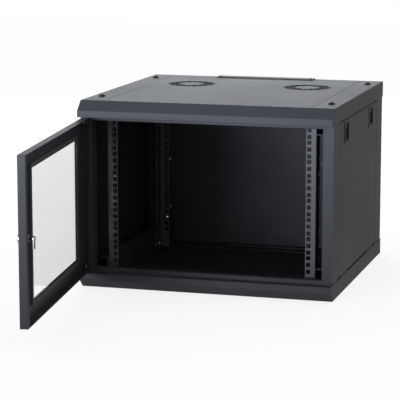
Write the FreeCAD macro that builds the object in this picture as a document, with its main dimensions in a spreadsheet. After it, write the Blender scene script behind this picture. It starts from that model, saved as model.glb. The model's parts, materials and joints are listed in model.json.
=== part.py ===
import FreeCAD, Part
import math
import os
import re
import Sketcher

# Wall mount network cabinet with a glass door that stands open. All sizes are in millimetres.
# The origin is the centre of the four wall holes, on the plane that meets the wall.
# +X points right as seen from the front, +Y points into the wall and +Z points up.
# Left and right are those of a person who stands in front of the door.

SIZES = [
    ("width", 600, "overall width of the case"),
    ("depth", 600, "overall depth of the case"),
    ("height", 440, "overall height of the case, without bolt heads and covers"),
    ("skin_gauge", 1.5, "sheet of the top, bottom, back, side panels and door"),
    ("frame_gauge", 1.5, "sheet of the uprights, header and sill"),
    ("member_gauge", 2, "sheet of the side members and crossbars"),
    ("rail_gauge", 2, "sheet of the equipment rails"),
    ("seat_gap", 0.1, "clearance between sheets that seat on each other"),
    ("slope_run", 25, "depth of the bezel's slope"),
    ("slope_drop", 22, "height of the bezel's slope"),
    ("bezel_drop", 38, "height from the outer plate to the bezel's and skirt's edge"),
    ("bezel_recess", 26, "distance from the bezel's front to the uprights' front"),
    ("post_width", 25, "width of a front upright"),
    ("post_depth", 59, "depth of a front upright"),
    ("post_return", 34, "depth of the front upright's inner return"),
    ("post_flange", 15, "width of the flanges that the side panel closes against"),
    ("rear_depth", 70, "depth of a rear upright"),
    ("rear_flange", 45, "width of the rear upright's wall flange"),
    ("header_drop", 47, "height from the outer plate to the header's edge"),
    ("header_flange", 18, "depth of the header's flange"),
    ("bar_height", 23, "height of the crossbars' leg on the back panel"),
    ("bar_depth", 66, "distance of the crossbars' front edge from the wall"),
    ("member_drop", 66, "height from the outer plate to the side member's inner face"),
    ("member_gap", 0.3, "gap between a side member's flange and the upright's flange"),
    ("member_lip", 18, "width of the side member's inner lip"),
    ("rail_opening", 450, "clear width between the equipment rails"),
    ("rail_width", 24, "width of a rail's punched face"),
    ("rail_depth", 40, "depth of a rail's side flange"),
    ("rail_setback", 42, "distance from the uprights' front to the front rails' face"),
    ("rail_spacing", 408, "distance from the front rails' face to the rear rails' face"),
    ("rail_foot", 11, "height of the rails' lower end above the bottom"),
    ("rail_head", 22, "height from the rails' upper end to the top"),
    ("rack_unit", 44.45, "height of one equipment unit"),
    ("unit_groups", 8, "groups of three holes in a rail"),
    ("hole_step", 15.875, "spacing of the three holes in a group"),
    ("hole_inset", 7.55, "distance of the hole rows from the rails' inner edges"),
    ("hole_side", 9.5, "side of a square rail hole"),
    ("first_hole", 46, "height of the first hole above the rail's end"),
    ("slot_wide", 5, "width of the small slots in a rail's flange"),
    ("slot_tall", 13, "height of the small slots in a rail's flange"),
    ("slot_step", 33.3, "spacing of the small slots in a rail's flange"),
    ("rail_bolt", 3, "radius of the rail bolts"),
    ("rail_bolt_inset", 11, "height of the rail bolts from the rail's ends"),
    ("rail_bolt_back", 20, "distance of the rail bolts behind the rail's face"),
    ("rail_bolt_grip", 12, "length of a rail bolt's shank"),
    ("rail_head_radius", 5, "radius of a rail bolt's head"),
    ("rail_head_height", 4, "height of a rail bolt's head"),
    ("rail_nut_radius", 5.8, "corner radius of a rail nut"),
    ("rail_nut_height", 5, "height of a rail nut"),
    ("slot_play", 0.25, "clearance of a rail bolt in its slot, each side"),
    ("rail_travel", 80, "how far each rail can move towards the middle"),
    ("rail_outward", 10, "how far each rail can move away from the middle"),
    ("bolt_inset", 25, "distance of the corner bolts from the case's sides"),
    ("bolt_front", 105, "distance of the front corner bolts behind the bezel"),
    ("bolt_rear", 76, "distance of the rear corner bolts in front of the wall"),
    ("bolt_radius", 4, "radius of the corner bolts"),
    ("bolt_head_radius", 7.5, "radius of the corner bolts' heads"),
    ("bolt_head_height", 5, "height of the corner bolts' heads"),
    ("bolt_length", 22, "length of the corner bolts' shanks"),
    ("sink_depth", 3.5, "depth of the lower bolts' countersunk heads"),
    ("fan_side", 147, "distance of the fan places from the middle"),
    ("fan_back", 184, "distance of the fan places in front of the wall"),
    ("fan_square", 105, "spacing of the fan screw holes"),
    ("fan_screw_hole", 2.2, "radius of the fan screw holes"),
    ("cell_pitch", 10, "spacing of the grille's six-sided holes"),
    ("cell_radius", 5.1, "corner radius of the grille's six-sided holes"),
    ("grille_inside", 28, "distance of the grille's innermost holes from its middle"),
    ("grille_outside", 57, "distance of the grille's outermost holes from its middle"),
    ("seam_side", 245, "distance of the pressed lines from the middle"),
    ("seam_width", 1.2, "width of the pressed lines"),
    ("seam_depth", 0.5, "depth of the pressed lines"),
    ("seam_end", 18, "distance of the pressed lines' ends from the plate's ends"),
    ("cable_width", 210, "width of the cable entries"),
    ("cable_depth", 20, "depth of the cable entries"),
    ("cable_back", 8, "distance of the cable entries in front of the wall"),
    ("cable_room", 2, "distance of the crossbars' cable openings from the cable entries"),
    ("cover_width", 252, "width of the cable entry covers"),
    ("cover_depth", 30, "depth of the upper cable entry cover"),
    ("inner_cover_depth", 23, "depth of the lower cable entry cover, inside the bottom panel"),
    ("cover_gauge", 2.5, "thickness of the cable entry covers"),
    ("cover_screw_side", 118, "distance of the cover screws from the middle"),
    ("cover_screw_radius", 2, "radius of the cover screws"),
    ("small_head_radius", 3.6, "radius of the small screws' heads"),
    ("small_head_height", 1.8, "height of the small screws' heads"),
    ("cover_screw_length", 8, "length of the cover screws' shanks"),
    ("wall_hole_inset", 32, "distance of the wall holes from the uprights' sides"),
    ("wall_hole_drop", 62, "height from the outer plate to the wall holes"),
    ("wall_hole_radius", 5, "radius of the wall holes"),
    ("back_inset", 15.4, "distance of the back panel's edges from the uprights' sides"),
    ("back_screw_inset", 38.4, "distance of the back panel screws from the uprights' sides"),
    ("back_screw_step", 125, "spacing of the back panel screws"),
    ("door_side_gap", 8, "distance from the case's side to the door's edge"),
    ("door_face", 4, "distance of the door's face behind the bezel's front"),
    ("door_depth", 18, "depth of the door's folded edge"),
    ("door_gap", 2.5, "gap above and below the door"),
    ("door_stile", 89, "width of the door's sides beside the glass"),
    ("door_rail", 42, "height of the door's strips above and below the glass"),
    ("door_lip", 14.5, "width of the door's inner side lips"),
    ("door_open", 83, "angle by which the door stands open, in degrees"),
    ("glass_gauge", 5, "thickness of the glass"),
    ("glass_lap", 8, "width of the glass behind the door's sheet"),
    ("gasket_outside", 4, "width of the gasket outside the glass"),
    ("gasket_inside", 6, "width of the gasket on the glass"),
    ("gasket_depth", 7.5, "depth of the gasket"),
    ("hinge_inset", 6, "distance of the hinge axis from the door's edge"),
    ("hinge_back", 8.5, "distance of the hinge axis behind the door's face"),
    ("pin_radius", 2.5, "radius of the hinge pins"),
    ("pin_reach", 12, "length of a hinge pin inside the door"),
    ("pin_play", 0.05, "running clearance of pins and plugs, each side"),
    ("bush_radius", 4, "radius of the hinge bushes"),
    ("bush_length", 10, "length of the hinge bushes inside the door"),
    ("bush_flange", 6, "radius of the hinge bushes' flanges"),
    ("hinge_width", 20, "width of the hinge brackets"),
    ("hinge_leg", 58, "height of the hinge brackets' screwed leg"),
    ("hinge_reach", 18, "depth of the hinge brackets' carrying leg"),
    ("hinge_gauge", 1.5, "sheet of the hinge brackets"),
    ("hinge_screw_radius", 2, "radius of the hinge screws"),
    ("hinge_screw_first", 32, "height of the first hinge screw from the bezel's edge"),
    ("hinge_screw_step", 17, "spacing of the hinge screws"),
    ("hinge_screw_length", 7, "length of the hinge screws"),
    ("lock_inset", 30, "distance of the lock's axis from the door's free edge"),
    ("lock_raise", 4, "height of the lock's axis above the middle"),
    ("lock_cap_radius", 10.5, "radius of the lock's cap"),
    ("lock_cap_height", 8, "height of the lock's cap on the door"),
    ("lock_barrel_radius", 8, "radius of the lock's barrel"),
    ("lock_barrel_length", 12, "length of the barrel behind the door's face"),
    ("lock_stop_radius", 8.7, "radius of the lock's stop plate"),
    ("lock_stop_gauge", 2.5, "thickness of the lock's stop plate"),
    ("lock_nut_radius", 11.5, "corner radius of the lock's nut"),
    ("lock_nut_height", 5, "height of the lock's nut"),
    ("plug_radius", 5, "radius of the lock's plug"),
    ("key_slot_long", 7, "length of the key slot"),
    ("key_slot_wide", 1.6, "width of the key slot"),
    ("key_slot_deep", 3, "depth of the key slot"),
    ("cam_behind", 2, "distance of the cam behind the upright's front face"),
    ("cam_gauge", 2.5, "thickness of the cam"),
    ("cam_width", 12, "width of the cam"),
    ("cam_reach", 22, "length of the cam from the lock's axis"),
    ("cam_screw_radius", 4, "radius of the cam screw's head"),
    ("cam_screw_height", 2.5, "height of the cam screw's head"),
    ("cam_screw_thread", 1.5, "radius of the cam screw's thread"),
    ("cam_screw_length", 9, "length of the cam screw's thread"),
    ("cam_room", 3, "clearance round the cam in the upright's slot"),
    ("panel_gap", 1.5, "gap between a side panel and the uprights"),
    ("panel_seam", 3, "gap between a side panel and the top and bottom skirts"),
    ("panel_flange", 13, "depth of a side panel's folded edge"),
    ("tab_length", 11, "height of a side panel's lower tabs"),
    ("tab_width", 60, "width of a side panel's lower tabs"),
    ("tab_inset", 70, "distance of the tabs' middle from a side panel's ends"),
    ("tab_gap", 0.2, "clearance between a tab and the skirt that holds it"),
    ("latch_inset", 76, "distance of a latch's middle from a side panel's ends"),
    ("latch_drop", 29, "distance of a latch's middle below a side panel's top"),
    ("latch_frame", 50, "outer size of a latch's frame"),
    ("latch_proud", 1.5, "height of a latch's frame on the side panel"),
    ("latch_hole", 44, "size of the side panel's hole for a latch"),
    ("latch_tray_depth", 11, "depth of a latch's tray"),
    ("latch_wall", 1.5, "wall of a latch's tray"),
    ("latch_travel", 8, "how far a latch slides up to lock"),
    ("latch_play", 0.2, "clearance of a latch's slider, each side"),
    ("slider_width", 26, "width of a latch's slider"),
    ("slider_depth", 7, "depth of a latch's slider"),
    ("grip_width", 17, "width of the slider's finger hollow"),
    ("grip_height", 24, "height of the slider's finger hollow"),
    ("grip_depth", 5, "depth of the slider's finger hollow"),
    ("tongue_width", 14, "width of a latch's tongue"),
    ("tongue_gauge", 3, "thickness of a latch's tongue"),
    ("tongue_proud", 1, "height of a resting tongue above the side panel's top"),
]

ALIASES = [alias for alias, _, _ in SIZES]

doc = FreeCAD.newDocument("wall_mount_network_cabinet")
sheet = doc.addObject("Spreadsheet::Sheet", "Sizes")
for row, (alias, number, note) in enumerate(SIZES, start=1):
    sheet.set(f"A{row}", note)
    sheet.set(f"B{row}", str(number))
    sheet.setAlias(f"B{row}", alias)
doc.recompute()

NODES = []
SIDES = {"left": "-1", "right": "1"}
LEVELS = {"top": "1", "bottom": "-1"}

# Places that several pieces share, as formulas of the sizes. X and Z places are distances
# from the middle, which side and level turn to left and right or top and bottom.
FRONT = "(-depth)"
POST_FACE = "(-depth + bezel_recess)"
POST_SIDE = "(width / 2 - skin_gauge - seat_gap)"
POST_INNER = f"({POST_SIDE} - post_width)"
FRAME_TOP = "(height / 2 - skin_gauge - seat_gap)"
BEZEL_EDGE = "(height / 2 - bezel_drop)"
HEADER_EDGE = "(height / 2 - header_drop)"
MEMBER_EDGE = "(height / 2 - member_drop)"
MEMBER_FACE = "(rail_opening / 2 + rail_width)"
MEMBER_WEB = f"({MEMBER_FACE} + seat_gap)"
MEMBER_OUTER = f"({POST_SIDE} - post_flange - member_gap)"
BACK_FACE = "(-skin_gauge - seat_gap)"
BACK_FRONT = f"({BACK_FACE} - skin_gauge - seat_gap)"
WALL_HOLE_X = f"({POST_SIDE} - wall_hole_inset)"
WALL_HOLE_Z = "(height / 2 - wall_hole_drop)"
BACK_SCREW_X = f"({POST_SIDE} - back_screw_inset)"
ENTRY_MIDDLE = "(-cable_back - cable_depth / 2)"
BOLT_X = "(width / 2 - bolt_inset)"
RAIL_LOW = "(-height / 2 + rail_foot)"
RAIL_HIGH = "(height / 2 - rail_head)"
BOLT_YS = ["(-depth + bolt_front)", "(-bolt_rear)"]
DOOR_FACE = "(-depth + door_face)"
DOOR_REAR = f"({DOOR_FACE} + door_depth)"
DOOR_INSIDE = f"({DOOR_FACE} + skin_gauge)"
DOOR_HALF = "(width / 2 - door_side_gap)"
DOOR_TOP = f"({BEZEL_EDGE} - door_gap)"
HINGE_X = f"(-{DOOR_HALF} + hinge_inset)"
HINGE_Y = f"({DOOR_FACE} + hinge_back)"
LOCK_X = f"({DOOR_HALF} - lock_inset)"
CAM_Y = f"({POST_FACE} + cam_behind)"
PANEL_FRONT = f"({POST_FACE} + post_depth + panel_gap)"
PANEL_REAR = "(-rear_depth - panel_gap)"
PANEL_TOP = f"({BEZEL_EDGE} - panel_seam)"


def link(formula):
    """Turn the size names in a formula into references to the sheet."""
    def reference(word):
        return f"Sizes.{word[0]}" if word[0] in ALIASES else word[0]
    return re.sub(r"[a-z_]+", reference, str(formula))


def value(formula):
    """Work out a formula of sizes as a plain number."""
    result = sheet.evalExpression(link(formula))
    return float(getattr(result, "Value", result))


def node(thing, label):
    """Name a finished piece and keep it for export."""
    thing.Label = label
    NODES.append(thing)
    return thing


# Solids made from primitives

def block(name, xs, ys, zs):
    """Box between two places along each axis, given in either order."""
    box = doc.addObject("Part::Box", name)
    for length, place, (one, other) in zip(("Length", "Width", "Height"), "xyz", (xs, ys, zs)):
        box.setExpression(length, link(f"abs(({other}) - ({one}))"))
        box.setExpression(f"Placement.Base.{place}", link(f"min({one}; {other})"))
    return box


def place_along(thing, axis, at):
    """Lay a primitive that was made along Z on another axis, with its base at a place."""
    turns = {"x": FreeCAD.Rotation(FreeCAD.Vector(0, 1, 0), 90),
             "y": FreeCAD.Rotation(FreeCAD.Vector(1, 0, 0), -90),
             "z": FreeCAD.Rotation()}
    thing.Placement = FreeCAD.Placement(FreeCAD.Vector(), turns[axis])
    for name, formula in zip("xyz", at):
        thing.setExpression(f"Placement.Base.{name}", link(formula))
    return thing


def rod(name, axis, radius, at, length):
    """Cylinder that starts at a place and runs along the positive axis."""
    cylinder = doc.addObject("Part::Cylinder", name)
    cylinder.setExpression("Radius", link(radius))
    cylinder.setExpression("Height", link(length))
    return place_along(cylinder, axis, at)


def hexagon(name, axis, radius, at, length):
    """Six-sided prism that starts at a place and runs along the positive axis."""
    prism = doc.addObject("Part::Prism", name)
    prism.Polygon = 6
    prism.setExpression("Circumradius", link(radius))
    prism.setExpression("Height", link(length))
    return place_along(prism, axis, at)


def cone(name, low_radius, high_radius, at, length, axis="z"):
    """Truncated cone that starts at a place and runs along the positive axis."""
    taper = doc.addObject("Part::Cone", name)
    taper.setExpression("Radius1", link(low_radius))
    taper.setExpression("Radius2", link(high_radius))
    taper.setExpression("Height", link(length))
    return place_along(taper, axis, at)


def fuse(name, pieces):
    """One solid from several that touch or overlap."""
    union = doc.addObject("Part::MultiFuse", name)
    union.Shapes = pieces
    union.Refine = True
    return union


def cut(name, base, tools):
    """A solid less one or more others."""
    tool = tools[0] if len(tools) == 1 else group(name + "_tools", tools)
    remainder = doc.addObject("Part::Cut", name)
    remainder.Base = base
    remainder.Tool = tool
    remainder.Refine = True
    return remainder


def group(name, pieces):
    """Several separate solids in one object."""
    together = doc.addObject("Part::Compound", name)
    together.Links = pieces
    return together


# Bodies made from sketches

def sketch_on(body, name, role, at):
    """Sketch on one of a body's own origin planes, moved along its normal."""
    support = [each for each in body.Origin.OriginFeatures if each.Role == role + "_Plane"][0]
    sketch = body.newObject("Sketcher::SketchObject", name)
    sketch.AttachmentSupport = (support, [""])
    sketch.MapMode = "FlatFace"
    towards = f"-({at})" if role == "XZ" else at
    sketch.setExpression("AttachmentOffset.Base.z", link(towards))
    return sketch


def fix_point(sketch, index, position, point):
    """Tie a point of the sketch to its two distances from the origin."""
    for kind, formula in zip(("DistanceX", "DistanceY"), point):
        rule = Sketcher.Constraint(kind, -1, 1, index, position, value(formula))
        sketch.setExpression(f"Constraints[{sketch.addConstraint(rule)}]", link(formula))


def outline(sketch, points):
    """Closed outline with straight sides through the given points."""
    first = sketch.GeometryCount
    corners = [FreeCAD.Vector(value(across), value(along), 0) for across, along in points]
    count = len(corners)
    for index in range(count):
        side = Part.LineSegment(corners[index], corners[(index + 1) % count])
        sketch.addGeometry(side, False)
    for index in range(count):
        following = first + (index + 1) % count
        sketch.addConstraint(Sketcher.Constraint("Coincident", first + index, 2, following, 1))
    for index, point in enumerate(points):
        fix_point(sketch, first + index, 1, point)


def rectangle(sketch, across, along):
    """Rectangle between two places on each of the sketch's axes."""
    (left, right), (low, high) = across, along
    outline(sketch, [(left, low), (right, low), (right, high), (left, high)])


def circle(sketch, radius, centre):
    """Circle with its centre tied to the origin."""
    middle = FreeCAD.Vector(value(centre[0]), value(centre[1]), 0)
    index = sketch.addGeometry(Part.Circle(middle, FreeCAD.Vector(0, 0, 1), value(radius)), False)
    rule = Sketcher.Constraint("Radius", index, value(radius))
    sketch.setExpression(f"Constraints[{sketch.addConstraint(rule)}]", link(radius))
    fix_point(sketch, index, 3, centre)


def pad(body, sketch, length):
    """Solid that reaches half the length to each side of its sketch."""
    feature = body.newObject("PartDesign::Pad", sketch.Name + "_pad")
    feature.Profile = sketch
    feature.SideType = "Symmetric"
    feature.setExpression("Length", link(length))
    doc.recompute()
    return feature


def pocket(body, sketch, length):
    """Cut that reaches half the length to each side of its sketch, and really cuts."""
    before = body.Shape.Volume
    feature = body.newObject("PartDesign::Pocket", sketch.Name + "_pocket")
    feature.Profile = sketch
    feature.SideType = "Symmetric"
    feature.setExpression("Length", link(length))
    doc.recompute()
    if not body.Shape.Volume < before:
        raise RuntimeError(f"{sketch.Name} cuts nothing")
    return feature


def repeat_up(body, feature, sketch, step, count):
    """Copies of a feature, one step apart along the sketch's upward axis."""
    pattern = body.newObject("PartDesign::LinearPattern", sketch.Name + "_pattern")
    pattern.Originals = [feature]
    pattern.Direction = (sketch, ["V_Axis"])
    pattern.Mode = "Spacing"
    pattern.setExpression("Offset", link(step))
    pattern.setExpression("Occurrences", link(count))
    body.Tip = pattern
    doc.recompute()
    return pattern


def folded(name, role, points, at, length):
    """Body with one folded section, padded to both sides of a place."""
    body = doc.addObject("PartDesign::Body", name)
    section = sketch_on(body, name + "_section", role, at)
    outline(section, points)
    pad(body, section, length)
    return body


def middle(one, other):
    """Place half way between two places."""
    return f"(({one}) + ({other})) / 2"


def apart(one, other):
    """Distance from one place to another."""
    return f"abs(({other}) - ({one}))"


# Top and bottom panels

def grille_cutter():
    """Six-sided prisms in a honeycomb ring round each fan place, with a solid middle."""
    pitch = value("cell_pitch")
    radius = value("cell_radius")
    gauge = value("skin_gauge")
    inside = value("grille_inside")
    outside = value("grille_outside")
    row_step = pitch * math.cos(math.radians(30))
    reach = math.ceil(outside / row_step)
    angles = [math.radians(30 + 60 * corner) for corner in range(7)]
    cells = []
    for side in (-1, 1):
        centre = FreeCAD.Vector(side * value("fan_side"), -value("fan_back"),
                                value("height / 2") - 2 * gauge)
        for row in range(-reach, reach + 1):
            for column in range(-reach, reach + 1):
                x = pitch * (column + row % 2 / 2)
                y = row_step * row
                if not inside <= math.hypot(x, y) <= outside:
                    continue
                corners = [centre + FreeCAD.Vector(x + radius * math.cos(angle),
                                                   y + radius * math.sin(angle), 0)
                           for angle in angles]
                face = Part.Face(Part.makePolygon(corners))
                cells.append(face.extrude(FreeCAD.Vector(0, 0, 3 * gauge)))
    cutter = doc.addObject("Part::Feature", "grille_cells")
    cutter.Shape = Part.makeCompound(cells)
    cutter.Placement = FreeCAD.Placement()
    return cutter


def plate_panel(level):
    """Pan with a sloped bezel in front and skirts at the sides and back."""
    up = LEVELS[level]
    bend = "atan(slope_run / slope_drop)"
    lower_shift = f"skin_gauge * tan({bend} / 2)"
    upper_shift = f"skin_gauge * tan(atan(slope_drop / slope_run) / 2)"
    lip_end = f"{POST_FACE} - seat_gap"
    outer = [(FRONT, BEZEL_EDGE), (FRONT, "height / 2 - slope_drop"),
             (f"{FRONT} + slope_run", "height / 2"), ("0", "height / 2"), ("0", BEZEL_EDGE)]
    inner = [(f"{FRONT} + skin_gauge", f"{BEZEL_EDGE} + skin_gauge"),
             (f"{FRONT} + skin_gauge", f"height / 2 - slope_drop - {lower_shift}"),
             (f"{FRONT} + slope_run + {upper_shift}", "height / 2 - skin_gauge"),
             ("-skin_gauge", "height / 2 - skin_gauge"),
             ("-skin_gauge", f"{BEZEL_EDGE} - skin_gauge"),
             (lip_end, f"{BEZEL_EDGE} - skin_gauge"),
             (lip_end, f"{BEZEL_EDGE} + skin_gauge")]
    body = folded(level + "_pan", "YZ", [(y, f"{up} * ({z})") for y, z in outer], "0", "width")
    hollow = sketch_on(body, level + "_hollow", "YZ", "0")
    outline(hollow, [(y, f"{up} * ({z})") for y, z in inner])
    pocket(body, hollow, "width - 2 * skin_gauge")

    notch = sketch_on(body, level + "_notches", "XZ", "-skin_gauge / 2")
    for side in SIDES.values():
        rectangle(notch, (f"{side} * (width / 2 - skin_gauge)",
                          f"{side} * ({POST_SIDE} - rear_flange - seat_gap)"),
                  (f"{up} * ({BEZEL_EDGE} - skin_gauge)", f"{up} * (height / 2 - skin_gauge)"))
    pocket(body, notch, "2 * skin_gauge")

    plate = f"{up} * (height / 2 - skin_gauge / 2)"
    holes = sketch_on(body, level + "_holes", "XY", plate)
    rectangle(holes, ("-cable_width / 2", "cable_width / 2"),
              ("-cable_back - cable_depth", "-cable_back"))
    for side in SIDES.values():
        circle(holes, "cover_screw_radius", (f"{side} * cover_screw_side", ENTRY_MIDDLE))
        if level == "top":
            for bolt_y in BOLT_YS:
                circle(holes, "bolt_radius + seat_gap", (f"{side} * {BOLT_X}", bolt_y))
            for across in SIDES.values():
                for along in SIDES.values():
                    circle(holes, "fan_screw_hole",
                           (f"{side} * fan_side + {across} * fan_square / 2",
                            f"-fan_back + {along} * fan_square / 2"))
    pocket(body, holes, "3 * skin_gauge")

    seams = sketch_on(body, level + "_seams", "XY", f"{up} * height / 2")
    for side in SIDES.values():
        rectangle(seams, (f"{side} * seam_side - seam_width / 2",
                          f"{side} * seam_side + seam_width / 2"),
                  (f"{FRONT} + slope_run + seam_end", "-seam_end"))
    pocket(body, seams, "2 * seam_depth")
    return body


def cable_covers():
    """Flat covers: one on the top panel's rear edge and one inside, on the lower crossbar."""
    layers = {"top": ("-cover_depth", "0", "height / 2"),
              "bottom": (f"{ENTRY_MIDDLE} - inner_cover_depth / 2",
                         f"{ENTRY_MIDDLE} + inner_cover_depth / 2",
                         f"(-{FRAME_TOP} + member_gauge)")}
    screws = []
    for level, (front, rear, under) in layers.items():
        plate = block(level + "_cover_plate", ("-cover_width / 2", "cover_width / 2"),
                      (front, rear), (under, f"{under} + cover_gauge"))
        tip = f"{under} - cover_screw_length + cover_gauge" if level == "top" else "-height / 2"
        fixings = []
        for name, side in SIDES.items():
            label = f"{level}_cover_screw_{name}"
            place = (f"{side} * cover_screw_side", ENTRY_MIDDLE)
            head = rod(label + "_head", "z", "small_head_radius",
                       (*place, f"{under} + cover_gauge"), "small_head_height")
            shank = rod(label + "_shank", "z", "cover_screw_radius", (*place, tip),
                        apart(tip, f"{under} + cover_gauge"))
            fixings.append(fuse(label, [head, shank]))
        node(cut(level + "_cover", plate, fixings), "cable_cover_" + level)
        screws += fixings
    node(group("cover_screws", screws), "cable_cover_screws")


# Uprights and the frame between them

def front_post(name):
    """Folded upright with a face, an inner return and a flange behind the side panel's edge."""
    side = SIDES[name]
    rear = f"{POST_FACE} + post_depth"
    inner_end = f"{POST_FACE} + post_return"
    points = [("post_flange", rear), ("0", rear), ("0", POST_FACE), ("post_width", POST_FACE),
              ("post_width", inner_end), ("post_width - frame_gauge", inner_end),
              ("post_width - frame_gauge", f"{POST_FACE} + frame_gauge"),
              ("frame_gauge", f"{POST_FACE} + frame_gauge"), ("frame_gauge", f"{rear} - frame_gauge"),
              ("post_flange", f"{rear} - frame_gauge")]
    body = folded("front_upright_" + name, "XY",
                  [(f"{side} * ({POST_SIDE} - ({x}))", y) for x, y in points], "0", f"2 * {FRAME_TOP}")
    if name == "right":
        slot = sketch_on(body, "cam_slot", "YZ", f"{POST_INNER} + frame_gauge / 2")
        rectangle(slot, (f"{POST_FACE} + frame_gauge", f"{CAM_Y} + cam_gauge + cam_room"),
                  ("lock_raise - cam_reach - cam_room", "lock_raise + cam_width / 2 + cam_room"))
        pocket(body, slot, "3 * frame_gauge")
    else:
        holes = sketch_on(body, "hinge_screw_holes", "XZ", f"{POST_FACE} + frame_gauge / 2")
        for level in LEVELS.values():
            for place in hinge_screw_heights(level):
                circle(holes, "hinge_screw_radius", (HINGE_X, place))
        pocket(body, holes, "3 * frame_gauge")
    return node(body, "front_post_" + name)


def hinge_screw_heights(level):
    """Heights of the two screws in one hinge bracket."""
    first = f"{BEZEL_EDGE} - hinge_screw_first"
    return [f"{level} * ({first})", f"{level} * ({first} - hinge_screw_step)"]


def rear_post(name):
    """Folded upright whose wide rear flange lies on the wall."""
    side = SIDES[name]
    points = [("post_flange", "-rear_depth"), ("0", "-rear_depth"), ("0", "0"), ("rear_flange", "0"),
              ("rear_flange", "-frame_gauge"), ("frame_gauge", "-frame_gauge"),
              ("frame_gauge", "-rear_depth + frame_gauge"),
              ("post_flange", "-rear_depth + frame_gauge")]
    body = folded("rear_upright_" + name, "XY",
                  [(f"{side} * ({POST_SIDE} - ({x}))", y) for x, y in points], "0", f"2 * {FRAME_TOP}")
    holes = sketch_on(body, name + "_wall_holes", "XZ", "-frame_gauge / 2")
    for level in LEVELS.values():
        circle(holes, "wall_hole_radius", (f"{side} * {WALL_HOLE_X}", f"{level} * {WALL_HOLE_Z}"))
    for step in (-1, 0, 1):
        circle(holes, "cover_screw_radius", (f"{side} * {BACK_SCREW_X}", f"{step} * back_screw_step"))
    pocket(body, holes, "3 * frame_gauge")
    return node(body, "rear_post_" + name)


def header(level):
    """Folded strip across the front, above or below the opening."""
    up = LEVELS[level]
    inside = f"{POST_FACE} + frame_gauge"
    deep = f"{POST_FACE} + header_flange"
    points = [(POST_FACE, HEADER_EDGE), (deep, HEADER_EDGE), (deep, f"{HEADER_EDGE} + frame_gauge"),
              (inside, f"{HEADER_EDGE} + frame_gauge"), (inside, FRAME_TOP), (POST_FACE, FRAME_TOP)]
    label = "front_header" if level == "top" else "front_sill"
    body = folded(level + "_front_strip", "YZ", [(y, f"{up} * ({z})") for y, z in points], "0",
                  f"2 * {POST_INNER}")
    return node(body, label)


def crossbar(level):
    """Angle across the back: one leg on the outer plate and one on the back panel."""
    up = LEVELS[level]
    inner = f"{FRAME_TOP} - member_gauge"
    web = f"{BACK_FRONT} - member_gauge"
    points = [(BACK_FRONT, FRAME_TOP), ("-bar_depth", FRAME_TOP), ("-bar_depth", inner), (web, inner),
              (web, f"{FRAME_TOP} - bar_height"), (BACK_FRONT, f"{FRAME_TOP} - bar_height")]
    body = folded(level + "_crossbar", "YZ", [(y, f"{up} * ({z})") for y, z in points], "0",
                  f"2 * {MEMBER_WEB}")
    opening = sketch_on(body, level + "_cable_pass", "XY", f"{up} * ({inner} + member_gauge / 2)")
    half = "(cable_width / 2 + cable_room)"
    rectangle(opening, (f"-{half}", half),
              ("-cable_back - cable_depth - cable_room", "-cable_back + cable_room"))
    for side in SIDES.values():
        circle(opening, "cover_screw_radius", (f"{side} * cover_screw_side", ENTRY_MIDDLE))
    pocket(body, opening, "3 * member_gauge")
    return node(body, "rear_crossbar_" + level)


def rail_bolt_height(level):
    """Height of the rail bolts near the rails' upper or lower ends."""
    return f"{RAIL_HIGH} - rail_bolt_inset" if level == "top" else f"{RAIL_LOW} + rail_bolt_inset"


def side_member(level, name, corner_bolts):
    """Channel from front to back that carries the rails and takes the corner bolts."""
    up = LEVELS[level]
    side = SIDES[name]
    web = f"{MEMBER_WEB} + member_gauge"
    points = [(MEMBER_WEB, MEMBER_EDGE), (f"{MEMBER_WEB} + member_lip", MEMBER_EDGE),
              (f"{MEMBER_WEB} + member_lip", f"{MEMBER_EDGE} + member_gauge"),
              (web, f"{MEMBER_EDGE} + member_gauge"), (web, f"{FRAME_TOP} - member_gauge"),
              (MEMBER_OUTER, f"{FRAME_TOP} - member_gauge"), (MEMBER_OUTER, FRAME_TOP),
              (MEMBER_WEB, FRAME_TOP)]
    front = f"{POST_FACE} + post_return"
    rear = BACK_FRONT
    body = folded(f"{level}_{name}_channel", "XZ",
                  [(f"{side} * ({x})", f"{up} * ({z})") for x, z in points],
                  middle(front, rear), apart(front, rear))
    slots = sketch_on(body, f"{level}_{name}_slots", "YZ", f"{side} * ({MEMBER_WEB} + member_gauge / 2)")
    height = rail_bolt_height(level)
    for towards, face in (("1", "front"), ("-1", "rear")):
        bolt = rail_bolt_y(face)
        rectangle(slots, (f"{bolt} - {towards} * (rail_outward + rail_bolt + slot_play)",
                          f"{bolt} + {towards} * (rail_travel + rail_bolt + slot_play)"),
                  (f"{height} - rail_bolt - slot_play", f"{height} + rail_bolt + slot_play"))
    pocket(body, slots, "3 * member_gauge")
    return node(cut(f"{level}_{name}_member", body, [corner_bolts]), f"side_member_{level}_{name}")


def rail_face(place):
    """Place of a rail's punched face along Y."""
    front = f"({POST_FACE} + rail_setback)"
    return front if place == "front" else f"({front} + rail_spacing)"


def rail_bolt_y(place):
    """Place of a rail's bolts along Y."""
    towards = "1" if place == "front" else "-1"
    return f"({rail_face(place)} + {towards} * rail_bolt_back)"


# Equipment rails

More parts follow.
